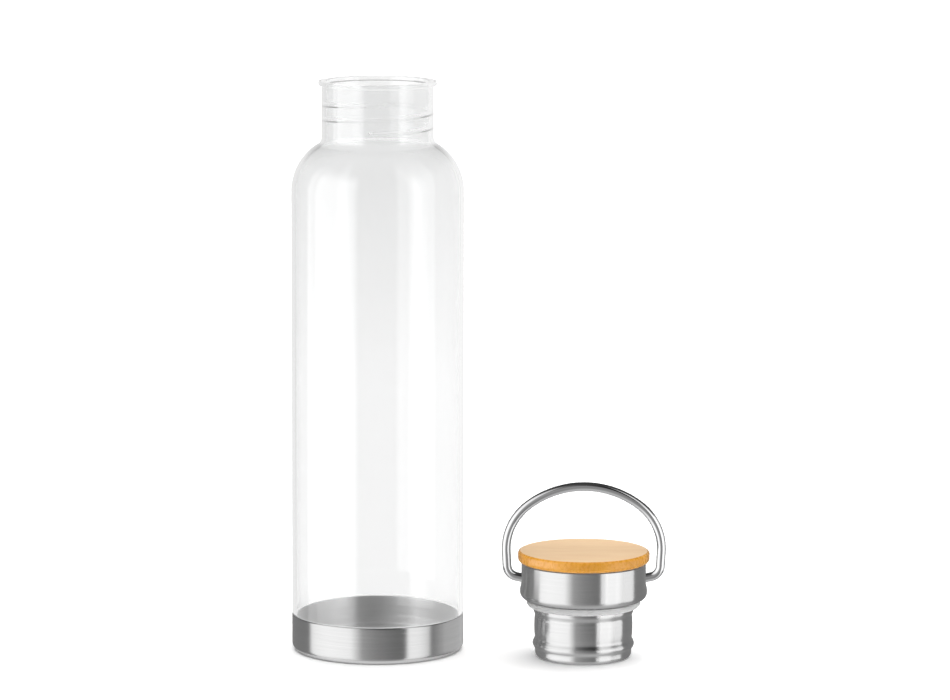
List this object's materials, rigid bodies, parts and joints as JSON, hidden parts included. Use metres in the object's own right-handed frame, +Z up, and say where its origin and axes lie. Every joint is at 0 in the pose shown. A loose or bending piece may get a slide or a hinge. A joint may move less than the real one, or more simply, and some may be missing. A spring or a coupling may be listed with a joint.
{
  "type": "glass water bottle",
  "caption": "Clear glass water bottle with a steel foot and a separate screw-in steel lid with bamboo top and wire carrying bail.",
  "frame": {"origin": "middle of the bottle's underside, on the surface it stands on", "axes": "+Z up along the bottle's axis, +X towards the lid and along its bail's pivot, +Y towards the back"},
  "size_m": [0.1628, 0.0821, 0.2495],
  "materials": {
    "clear_glass": "clear, polished",
    "brushed_steel": "brushed, satin",
    "polished_steel": "polished",
    "clear_silicone": "translucent, matte",
    "adhesive": "clear, matte",
    "polypropylene": "moulded, matte",
    "foam": "foamed, matte",
    "bamboo": "sanded and oiled"
  },
  "bodies": {
    "bottle": {"glass_bottle": "clear_glass", "base_cup": "brushed_steel", "base_bond": "adhesive"},
    "seal": {"gasket": "clear_silicone"},
    "lid": {"plug_shell": "brushed_steel", "plug_foam": "foam", "collar_shell": "brushed_steel", "lid_core": "polypropylene", "bamboo_bond": "adhesive", "bamboo_disc": "bamboo"},
    "bail": {"bail_handle": "polished_steel", "bail_washer_left": "polished_steel", "bail_washer_right": "polished_steel"}
  },
  "joints": [
    {"name": "lid_lift", "type": "slide", "parent": "bottle", "child": "seal", "axis": [0, 0, 1], "range_m": [0, 0.255]},
    {"name": "lid_turn", "type": "hinge", "parent": "seal", "child": "lid", "pos_m": [0.0898, -0.016, 0.0234], "axis": [0, 0, 1], "continuous": true},
    {"name": "bail_swing", "type": "hinge", "parent": "lid", "child": "bail", "pos_m": [0.0898, -0.016, 0.0343], "axis": [1, 0, 0], "range_deg": [-130, 130]}
  ]
}
